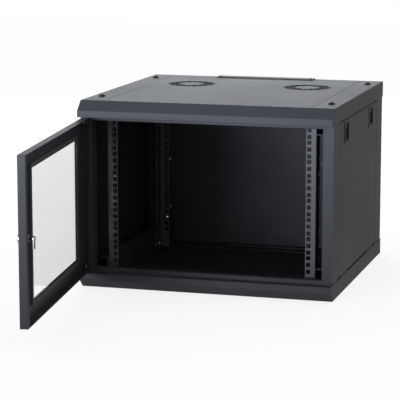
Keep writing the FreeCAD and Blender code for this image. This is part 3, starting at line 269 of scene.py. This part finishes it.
def soften(node, fold_mm, edge_mm):
    """Copy of a node with joined faces and rounded edges, in place of the node."""
    mesh = nodes[node].data.copy()
    for left_over in ("custom_normal", "UVMap"):
        if left_over in mesh.attributes:
            mesh.attributes.remove(mesh.attributes[left_over])
    work = bmesh.new()
    work.from_mesh(mesh)
    bmesh.ops.remove_doubles(work, verts=work.verts, dist=MERGE_DISTANCE)
    weight = work.edges.layers.float.new("bevel_weight_edge")
    for edge in work.edges:
        edge[weight] = fold_weight(edge, edge_mm / fold_mm)
    work.to_mesh(mesh)
    work.free()
    mesh.shade_flat()
    piece = bpy.data.objects.new("soft_" + node, mesh)
    bpy.context.scene.collection.objects.link(piece)
    bevel = piece.modifiers.new("edge radius", "BEVEL")
    bevel.width = fold_mm * MILLIMETRE
    bevel.segments = BEVEL_SEGMENTS
    bevel.limit_method = "WEIGHT"
    bevel.use_clamp_overlap = False
    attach(piece, body_of_node[node])
    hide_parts(node)


FOLDS_AND_EDGES_MM = {
    "case_paint": (1.4, 0.35),
    "rail_paint": (1.2, 0.35),
    "latch_plastic": (0.5, 0.3),
    "glass": (0.6, 0.6),
    "lock_chrome": (0.5, 0.3),
}
for name, slot in slot_of_node.items():
    if slot in FOLDS_AND_EDGES_MM:
        soften(name, *FOLDS_AND_EDGES_MM[slot])
HARDWARE_MM = (0.4, 0.3)
for name in ("lock_nut", "lock_stop_plate", "lock_cam", "rail_nuts_front_left",
             "rail_nuts_front_right", "rail_nuts_rear_left", "rail_nuts_rear_right"):
    soften(name, *HARDWARE_MM)

# %% [markdown]
# ## Bolts and screws
#
# A screw is a turned shape with a recess for the driver. Here it is a stack of rings: the recess
# floor, the recess edge, the crown of the head, then the rim, the seat and the shank. Every ring is
# a distance from the axis for each angle, so a six-sided or cross-shaped recess is simply a
# distance that changes with the angle. The rings of one screw are worked out once, and the whole
# array is copied to each place.

# %% Rings to a mesh
AROUND = 48
ANGLES = np.linspace(0, 2 * np.pi, AROUND, endpoint=False)
CREASE_ANGLE = math.radians(32)

# Each row is where a screw's own first, second and head axis points in the frame.
FACING = {
    "up": ((1, 0, 0), (0, 1, 0), (0, 0, 1)),
    "down": ((0, 1, 0), (1, 0, 0), (0, 0, -1)),
    "front": ((1, 0, 0), (0, 0, 1), (0, -1, 0)),
    "right": ((0, 1, 0), (0, 0, 1), (1, 0, 0)),
    "left": ((0, 0, 1), (0, 1, 0), (-1, 0, 0)),
}


def closed_rings(rings):
    """Points and faces of stacked rings (ring, around, xyz), each end drawn in to one point."""
    count, around = rings.shape[:2]
    here = np.arange(count * around).reshape(count, around)
    beside = np.roll(here, -1, axis=1)
    first_end, last_end = count * around, count * around + 1
    walls = np.stack([here[:-1], here[1:], beside[1:], beside[:-1]], axis=-1).reshape(-1, 4)
    start = np.stack([np.full(around, first_end), here[0], beside[0]], axis=-1)
    finish = np.stack([np.full(around, last_end), beside[-1], here[-1]], axis=-1)
    points = np.concatenate([rings.reshape(-1, 3), rings[:1].mean(1), rings[-1:].mean(1)])
    return points, [*walls.tolist(), *start.tolist(), *finish.tolist()]


def mesh_piece(name, shapes, slot, body):
    """One object from several closed shapes in millimetres, with its finish and its body."""
    points, faces, used = [], [], 0
    for shape_points, shape_faces in shapes:
        points.append(shape_points * MILLIMETRE)
        faces += [[used + corner for corner in face] for face in shape_faces]
        used += len(shape_points)
    mesh = bpy.data.meshes.new(name)
    mesh.from_pydata(np.concatenate(points).tolist(), [], faces)
    work = bmesh.new()
    work.from_mesh(mesh)
    bmesh.ops.recalc_face_normals(work, faces=work.faces)
    work.to_mesh(mesh)
    work.free()
    mesh.shade_smooth()
    mesh.set_sharp_from_angle(angle=CREASE_ANGLE)
    mesh.materials.append(FINISHES[slot])
    piece = bpy.data.objects.new(name, mesh)
    bpy.context.scene.collection.objects.link(piece)
    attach(piece, body)
    return piece


# %% Recess outlines and screw shapes
NEARLY_ZERO = 1e-9
CROWN_RINGS = 6
DISH_AT = (0.3, 0.8)
DISH_DEPTH = (1.0, 0.85)


def six_sided(across_flats):
    """Distance from the axis to a hexagon: half its width over the largest cosine to a flat."""
    flats = np.radians(np.arange(0, 360, 60))[:, None]
    return across_flats / 2 / np.cos(ANGLES - flats).max(0)


def cross_shaped(long, wide):
    """Distance to the edge of a plus sign: the farther of its two bars at each angle."""
    across, along = np.abs(np.cos(ANGLES)) + NEARLY_ZERO, np.abs(np.sin(ANGLES)) + NEARLY_ZERO
    flat_bar = np.minimum(long / 2 / across, wide / 2 / along)
    upright_bar = np.minimum(long / 2 / along, wide / 2 / across)
    return np.maximum(flat_bar, upright_bar)


def screw(recess, deep, head_radius, top, sag, outline):
    """Rings of a screw whose seat is at height 0.

    The crown's height is top less sag times the square of the distance over the head's radius.
    The recess floor is a shallow dish, a little less deep towards its edge.
    The outline is the rest of the section, as distances and heights from the rim to the tip.
    """
    spread = np.linspace(0, 1, CROWN_RINGS)[:, None]
    crown = recess + spread * (head_radius - recess)
    crown_height = top - sag * (crown / head_radius) ** 2
    dish = np.array(DISH_AT)[:, None] * recess
    dish_height = crown_height[0].mean() - deep * np.array(DISH_DEPTH)[:, None] + 0 * dish
    turned = np.array([distance for distance, _ in outline])[:, None] + 0 * ANGLES
    turned_height = np.array([height for _, height in outline])[:, None] + 0 * ANGLES
    distance = np.concatenate([dish, crown, turned])
    height = np.concatenate([dish_height, crown_height, turned_height])
    return np.stack([distance * np.cos(ANGLES), distance * np.sin(ANGLES), height], axis=-1)


def fixings(node, rings, places, facing):
    """Screws at several places in millimetres, in place of a node of the frame."""
    axes = np.array(facing, float)
    shapes = [closed_rings(rings @ axes + np.array(place, float)) for place in places]
    piece = mesh_piece("fine_" + node, shapes, slot_of_node[node], body_of_node[node])
    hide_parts(node)
    print(node, len(places), "screws")


# %% [markdown]
# The corner bolts are button heads with a hexagon socket. The lower ones are countersunk, so that
# the cabinet can stand flat. Small parts are held by pan heads with a cross recess, the hinges by
# countersunk screws, and the rails by larger pan heads that a hand can reach from inside. Lengths
# and places are in millimetres, as in the frame's own sizes.

# %% Corner bolts
SIDES = (-1, 1)
NAMED_SIDES = (("left", -1), ("right", 1))
BOLT_X, BOLT_YS = 275, (-495, -76)
OUTER_Z = 220
corners = [(side * BOLT_X, y) for side in SIDES for y in BOLT_YS]
button_head = screw(six_sided(across_flats=5), deep=2.6, head_radius=6.2, top=4.9, sag=1.3,
                    outline=[(7.0, 2.9), (7.4, 2.0), (7.5, 0.9), (7.4, 0), (4, 0),
                             (4, -21.4), (3.4, -22)])
fixings("top_bolts", button_head, [(x, y, OUTER_Z) for x, y in corners], FACING["up"])
sunk_head = screw(six_sided(across_flats=5), deep=2.2, head_radius=7.3, top=0, sag=0,
                  outline=[(7.5, -0.15), (4, -3.5), (4, -21.4), (3.4, -22)])
fixings("bottom_bolts", sunk_head, [(x, y, -OUTER_Z) for x, y in corners], FACING["down"])

# %% Small screws
COVER_X, COVER_Y = 118, -18
COVER_SEATS_AND_LENGTHS = ((222.5, 8), (-213.9, 6))
BACK_X, BACK_SEAT_Y, BACK_STEP = 260, -3.1, 125
HINGE_X, HINGE_FACE_Y = -286, -575.5
HINGE_SCREW_HEIGHTS = (150, 133)
small_cross = cross_shaped(long=3.6, wide=0.95)


def pan_head(length):
    """Small screw with a low crown and a cross recess."""
    return screw(small_cross, deep=1.1, head_radius=2.9, top=1.8, sag=0.45,
                 outline=[(3.35, 1.0), (3.6, 0.45), (3.55, 0), (2, 0), (2, 0.4 - length),
                          (1.6, -length)])


# One node of the frame holds the long screws of the upper cover and the short ones of the lower.
cover_screws = [closed_rings(pan_head(length) + np.array([side * COVER_X, COVER_Y, height]))
                for height, length in COVER_SEATS_AND_LENGTHS for side in SIDES]
cover_piece = mesh_piece("fine_cable_cover_screws", cover_screws, "black_bolts", "case")
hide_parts("cable_cover_screws")
fixings("back_panel_screws", pan_head(3), [(side * BACK_X, BACK_SEAT_Y, step * BACK_STEP)
                                           for side in SIDES for step in (-1, 0, 1)],
        FACING["front"])
hinge_screw = screw(small_cross, deep=1.0, head_radius=3.5, top=0, sag=0,
                    outline=[(3.6, -0.1), (2, -1.5), (2, -6.6), (1.6, -7)])
fixings("hinge_screws", hinge_screw, [(HINGE_X, HINGE_FACE_Y, end * height)
                                      for end in SIDES for height in HINGE_SCREW_HEIGHTS],
        FACING["front"])

# %% Rail bolts and the cam's screw
RAIL_SEAT_X = 247
RAIL_BOLT_Y = {"front": -512, "rear": -144}
RAIL_BOLT_Z = (187, -198)
rail_bolt = screw(cross_shaped(long=5.2, wide=1.3), deep=2.0, head_radius=4.3, top=4, sag=0.9,
                  outline=[(4.7, 2.5), (5, 1.4), (4.95, 0), (3, 0), (3, -11.4), (2.4, -12)])
for end, y in RAIL_BOLT_Y.items():
    for name, side in NAMED_SIDES:
        fixings(f"rail_bolts_{end}_{name}", rail_bolt,
                [(side * RAIL_SEAT_X, y, z) for z in RAIL_BOLT_Z],
                FACING["right" if side < 0 else "left"])

# The door stands open, so what belongs to it is turned about the hinge by this angle.
OPEN_ANGLE = math.radians(83)
OPEN_COS, OPEN_SIN = math.cos(OPEN_ANGLE), math.sin(OPEN_ANGLE)
HINGE_Y = -587.5
CAM_REACH, CAM_DEPTH, CAM_Z = 548, 18, 4
cam_place = (HINGE_X + CAM_REACH * OPEN_COS + CAM_DEPTH * OPEN_SIN,
             HINGE_Y - CAM_REACH * OPEN_SIN + CAM_DEPTH * OPEN_COS, CAM_Z)
cam_screw = screw(cross_shaped(long=3.8, wide=1.0), deep=1.3, head_radius=3.4, top=2.5, sag=0.5,
                  outline=[(3.8, 1.5), (4, 0.8), (3.95, 0), (1.5, 0), (1.5, -8.6), (1.1, -9)])
fixings("cam_screw", cam_screw, [cam_place],
        ((-OPEN_COS, OPEN_SIN, 0), (0, 0, 1), (OPEN_SIN, OPEN_COS, 0)))

# %% [markdown]
# ## Rubber seal round the glass
#
# The pane is held by an extruded rubber section with rounded lips. Its section is carried round a
# rectangle with small corner radii: each point lies at the centre of its corner's arc plus the
# corner radius and its own distance, in the direction of the turn. The door was made closed, so the
# finished points are turned open about the hinge.

# %% Rubber seal
GLASS_HALF = np.array([211, 145.5])
GLASS_FACE_Y = -589.5
SHEET_Y = -594.5
SEAL_CORNER_MM = 6
RINGS_PER_CORNER = 7
# Each point is its distance outside the pane's edge and its depth.
SEAL_SECTION = np.array([(4, SHEET_Y), (4, -588.2), (3.6, -587.5), (2.8, -587.1), (1.5, -587),
                         (-3.8, -587), (-5.0, -587.2), (-5.7, -587.8), (-6, -588.6),
                         (-6, GLASS_FACE_Y), (0, GLASS_FACE_Y), (0, SHEET_Y)])


def turned_open(points):
    """Points of the closed door, turned about the hinge to where the door stands."""
    reach, depth = points[..., 0] - HINGE_X, points[..., 1] - HINGE_Y
    return np.stack([HINGE_X + reach * OPEN_COS + depth * OPEN_SIN,
                     HINGE_Y - reach * OPEN_SIN + depth * OPEN_COS, points[..., 2]], axis=-1)


def seal_rings():
    """Section (distance, depth) at each turn of the rectangle's outline."""
    starts = np.array([0, 90, 180, 270])[:, None]
    turn = np.radians(starts + np.linspace(0, 90, RINGS_PER_CORNER)).ravel()
    way = np.stack([np.cos(turn), np.sin(turn)], axis=-1)
    diagonal = np.radians(np.repeat(starts + 45, RINGS_PER_CORNER))
    signs = np.sign(np.stack([np.cos(diagonal), np.sin(diagonal)], axis=-1))
    arc_centre = signs * (GLASS_HALF - SEAL_CORNER_MM)
    place = arc_centre[:, None] + way[:, None] * (SEAL_CORNER_MM + SEAL_SECTION[:, :1])
    depth = SEAL_SECTION[:, 1] + 0 * place[..., 0]
    return turned_open(np.stack([place[..., 0], depth, place[..., 1]], axis=-1))


def endless_rings(rings):
    """Points and faces of rings whose last one joins the first."""
    count, around = rings.shape[:2]
    here = np.arange(count * around).reshape(count, around)
    ahead, beside = np.roll(here, -1, axis=0), np.roll(here, -1, axis=1)
    walls = np.stack([here, ahead, np.roll(ahead, -1, axis=1), beside], axis=-1).reshape(-1, 4)
    return rings.reshape(-1, 3), walls.tolist()


seal = mesh_piece("rubber_seal", [endless_rings(seal_rings())], "gasket", "door")
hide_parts("glass_gasket")
print("seal of", len(SEAL_SECTION), "points, carried round", 4 * GLASS_HALF.sum(), "mm")

# %% [markdown]
# ## Finger ribs in the latches
#
# A finger has to push the slider up, so its hollow has moulded ribs. The rib block is a section
# carried upwards: the front of the section moves in and out with the height as a rectified sine,
# and fades to nothing at both sides. The block's back is sunk into the floor of the hollow.

# %% Finger ribs
RIB_PITCH_MM = 4
RIB_HEIGHT_MM = 1.3
RIB_FOOT_MM = 0.15
RIB_SUNK_MM = 0.3
RIB_RINGS, RIB_POINTS = 73, 13
FADE_POWER = 6
HOLLOW_FLOOR_X = 291.1
HOLLOW_Y = {"front": (-435.4, -419.2), "rear": (-145.4, -129.2)}
HOLLOW_Z = (134.4, 157.6)


def rib_block(low_y, high_y):
    """Rings for a right-hand block: height of the ribs times a fade across the width."""
    up = np.linspace(0, 1, RIB_RINGS)[:, None]
    along = np.linspace(0, 1, RIB_POINTS)
    height = HOLLOW_Z[0] + up * (HOLLOW_Z[1] - HOLLOW_Z[0])
    rib = np.abs(np.sin(np.pi * (height - HOLLOW_Z[0]) / RIB_PITCH_MM))
    fade = 1 - np.abs(2 * along - 1) ** FADE_POWER
    face = HOLLOW_FLOOR_X + RIB_FOOT_MM + RIB_HEIGHT_MM * rib * fade
    back = np.full((RIB_RINGS, 2), HOLLOW_FLOOR_X - RIB_SUNK_MM)
    across_y = low_y + along * (high_y - low_y)
    y = np.concatenate([across_y, [high_y, low_y]]) + 0 * up
    x = np.concatenate([face, back], axis=1)
    return np.stack([x, y, height + 0 * y], axis=-1)


for end, (low_y, high_y) in HOLLOW_Y.items():
    for name, side in NAMED_SIDES:
        rings = rib_block(low_y, high_y)[::-1]
        if side < 0:
            rings = (rings * np.array([-1, 1, 1]))[:, ::-1]
        mesh_piece(f"finger_ribs_{end}_{name}", [closed_rings(rings)], "latch_plastic",
                   f"latch_{end}_{name}")
print("finger ribs every", RIB_PITCH_MM, "mm")

# %% [markdown]
# ## Floor and background
#
# The object stands before plain white. The floor is pale and takes the shadow. Light Path carries
# most of it to white where the camera meets it, also through the glass, and half of it where a
# reflection does. So no light is spent on making the background bright, and a soft shadow is left.
# Under the case the floor is plain paint, or its white would shine up through the cable entry.

# %% Floor
FLOOR_SIZE = 14.0
FLOOR_GAP = 0.0005
WHITE_IN_VIEW = 0.8
WHITE_IN_A_REFLECTION = 0.55
FOOTPRINT_INSET = 0.006
FOOTPRINT_FRONT = -0.57
LINES = 4
MIDDLE_FACE = 4
PALE, WHITE = "#f4f4f5", "#ffffff"


def white_share(tree):
    """Share of plain white: one for rays from the camera or through glass, one for reflections."""
    path = add(tree, "ShaderNodeLightPath")
    in_view = add(tree, "ShaderNodeMath", {0: path.outputs["Is Camera Ray"],
                                           1: path.outputs["Is Transmission Ray"]},
                  operation="MAXIMUM")
    viewed = add(tree, "ShaderNodeMath", {0: in_view.outputs[0], 1: WHITE_IN_VIEW},
                 operation="MULTIPLY")
    mirrored = add(tree, "ShaderNodeMath", {0: path.outputs["Is Glossy Ray"],
                                            1: WHITE_IN_A_REFLECTION}, operation="MULTIPLY")
    return add(tree, "ShaderNodeMath", {0: viewed.outputs[0], 1: mirrored.outputs[0]},
               operation="MAXIMUM").outputs[0]


half = FLOOR_SIZE / 2
level = cad_bounds[0][2] - FLOOR_GAP
foot_x = cad_bounds[1][0] - FOOTPRINT_INSET
floor_x, floor_y = np.meshgrid([-half, -foot_x, foot_x, half],
                               [-half, FOOTPRINT_FRONT, -FOOTPRINT_INSET, half])
floor_points = np.stack([floor_x.ravel(), floor_y.ravel(), np.full(LINES ** 2, level)], axis=1)
first = (np.arange(LINES - 1)[:, None] * LINES + np.arange(LINES - 1)).ravel()
squares = np.stack([first, first + 1, first + LINES + 1, first + LINES], axis=1)
floor_mesh = bpy.data.meshes.new("floor")
floor_mesh.from_pydata(floor_points.tolist(), [], squares.tolist())
floor = bpy.data.objects.new("floor", floor_mesh)
bpy.context.scene.collection.objects.link(floor)

floor_paint, floor_tree, floor_shader = new_material("white_floor", PALE, Roughness=0.9)
glow = add(floor_tree, "ShaderNodeEmission", {"Color": linear(WHITE), "Strength": 1.0})
floor_mix = add(floor_tree, "ShaderNodeMixShader", {0: white_share(floor_tree),
                                                    1: floor_shader.outputs[0],
                                                    2: glow.outputs[0]})
floor_output = floor_tree.nodes["Material Output"]
floor_tree.links.new(floor_mix.outputs[0], floor_output.inputs["Surface"])
shaded_paint, _, _ = new_material("white_floor_under_the_case", PALE, Roughness=0.9)
floor_mesh.materials.append(floor_paint)
floor_mesh.materials.append(shaded_paint)
floor_mesh.polygons[MIDDLE_FACE].material_index = 1
print("floor at", round(level, 4), "m")

# %% World
WORLD_LEVEL = 1.0
world = bpy.data.worlds.new("studio")
bpy.context.scene.world = world
world.use_nodes = True
room = world.node_tree.nodes["Background"]
room.inputs["Color"].default_value = linear(WHITE)
room.inputs["Strength"].default_value = WORLD_LEVEL
print("white world of strength", WORLD_LEVEL)

# %% [markdown]
# ## Lamps
#
# Black paint shows little of its own colour: what the eye sees is the lamps' sheen on it. A low,
# wide softbox behind the case gives the top its pale grey. A second one at the front left carries a
# grid and aims over the case, so only the lower part of its beam falls on the upright faces.

# %% Lamps
COOL_WHITE = "#f2f7ff"


def soft_lamp(name, place, target, wide, tall, power, beam=180):
    """Rectangular area lamp that points at a target, with the angle of its beam in degrees."""
    data = bpy.data.lights.new(name, "AREA")
    data.shape = "RECTANGLE"
    data.size = wide
    data.size_y = tall
    data.energy = power
    data.color = linear(COOL_WHITE)[:3]
    data.spread = math.radians(beam)
    lamp = bpy.data.objects.new(name, data)
    bpy.context.scene.collection.objects.link(lamp)
    lamp.location = place
    lamp.rotation_euler = (Vector(target) - Vector(place)).to_track_quat("-Z", "Y").to_euler()


CASE_MIDDLE = (0.0, -0.3, 0.0)
OVER_THE_CASE = (0.0, -0.3, 1.25)
soft_lamp("back_softbox", (-1.0, 2.9, 0.85), CASE_MIDDLE, wide=1.8, tall=0.9, power=46)
soft_lamp("front_softbox", (-1.2, -4.4, 0.45), OVER_THE_CASE, wide=1.6, tall=0.8, power=72,
          beam=44)

# %% [markdown]
# ## Camera
#
# The photograph was taken from the front right, a little above the case, with a long lens. The
# place, the turn and the focal length were fitted to the corners of the case, so the picture lines
# up with the photograph.

# %% Camera
EYE = (1.1490, -4.5733, 0.7329)
TURN = math.radians(16.197)
DROP = math.radians(9.996)
LENS_MM = 166.35
SENSOR_MM = 36
camera_data = bpy.data.cameras.new("camera")
camera_data.lens = LENS_MM
camera_data.sensor_width = SENSOR_MM
camera = bpy.data.objects.new("camera", camera_data)
bpy.context.scene.collection.objects.link(camera)
camera.location = EYE
camera.rotation_euler = (math.pi / 2 - DROP, 0, TURN)
bpy.context.scene.camera = camera
bpy.context.scene.view_settings.view_transform = "Standard"
